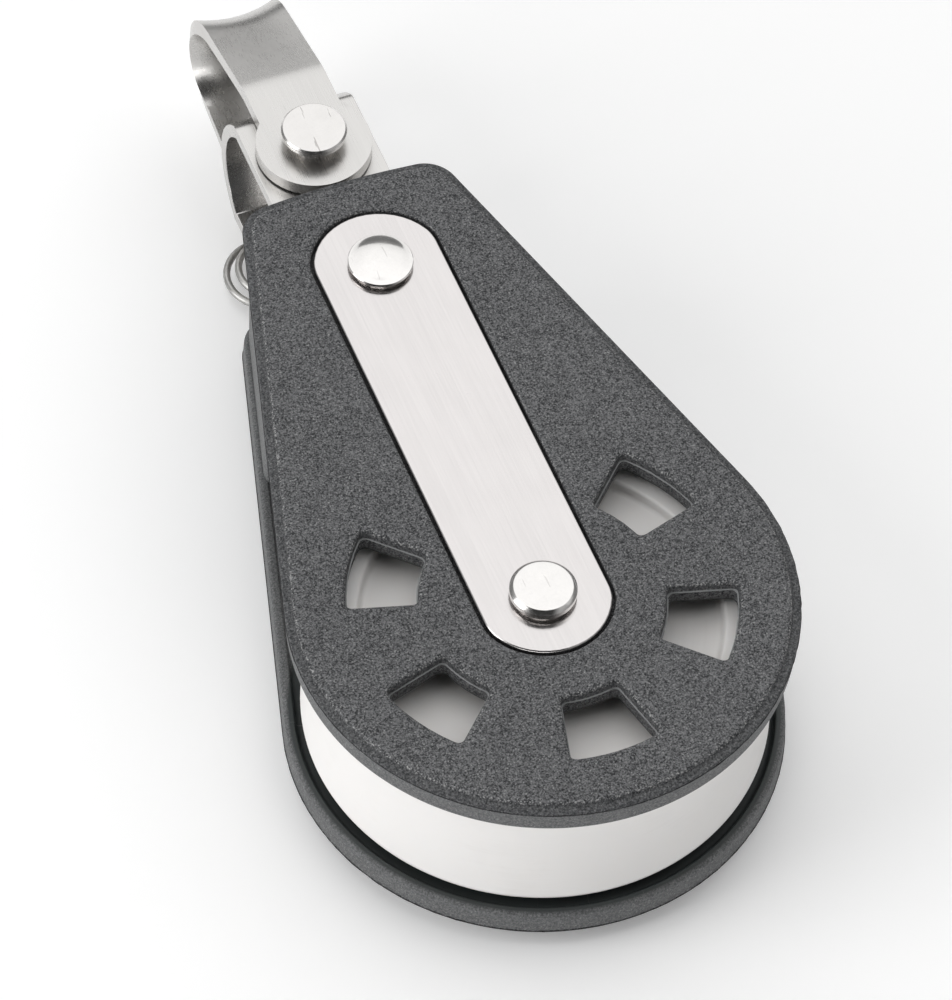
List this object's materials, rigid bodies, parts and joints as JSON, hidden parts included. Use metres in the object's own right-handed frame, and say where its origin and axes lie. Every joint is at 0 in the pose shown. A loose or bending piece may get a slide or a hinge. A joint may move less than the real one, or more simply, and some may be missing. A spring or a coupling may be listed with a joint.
{
  "type": "single sheave block",
  "caption": "Single sheave block for rope: grey moulded cheeks with riveted steel side plates, a white sheave, and a strip shackle with clevis pin and split ring.",
  "frame": {"origin": "middle of the sheave axle, on the middle plane between the cheeks", "axes": "+Y from the axle to the shackle, +Z along the sheave axle out of the front cheek, +X to the right"},
  "size_m": [0.0578, 0.1295, 0.0286],
  "materials": {
    "cheek_plastic": "fine sandy moulded grain",
    "plate_steel": "satin brushed stainless",
    "strip_steel": "polished stainless strip with fine lengthwise scratches",
    "rivet_steel": "polished stainless",
    "wire_steel": "drawn stainless wire",
    "sheave_plastic": "turned white acetal",
    "bush_bronze": "plain bearing bronze",
    "washer_plastic": "smooth black nylon"
  },
  "bodies": {
    "block": {"front_cheek": "cheek_plastic", "rear_cheek": "cheek_plastic", "front_side_plate": "plate_steel", "rear_side_plate": "plate_steel", "axle_rivet": "rivet_steel", "head_rivet": "rivet_steel", "axle_sleeve": "plate_steel", "front_thrust_washer": "washer_plastic", "rear_thrust_washer": "washer_plastic", "head_spacer": "cheek_plastic", "head_strap": "strip_steel", "head_rivet_sleeve": "plate_steel"},
    "sheave": {"sheave": "sheave_plastic", "sheave_bush": "bush_bronze"},
    "shackle": {"shackle": "strip_steel"},
    "clevis_pin": {"clevis_pin": "rivet_steel"},
    "split_ring": {"split_ring": "wire_steel"}
  },
  "joints": [
    {"name": "sheave_spin", "type": "hinge", "parent": "block", "child": "sheave", "pos_m": [0, 0, 0], "axis": [0, 0, 1], "continuous": true},
    {"name": "shackle_swing", "type": "hinge", "parent": "block", "child": "shackle", "pos_m": [0, 0.0717, 0], "axis": [0, 0, 1], "range_deg": [-104, 104]},
    {"name": "pin_turn", "type": "hinge", "parent": "block", "child": "clevis_pin", "pos_m": [0, 0.0717, 0], "axis": [0, 0, 1], "range_deg": [-18, 18]},
    {"name": "ring_swing", "type": "hinge", "parent": "clevis_pin", "child": "split_ring", "pos_m": [0, 0.0717, -0.012], "axis": [0, 1, 0], "range_deg": [-180, 0]}
  ]
}
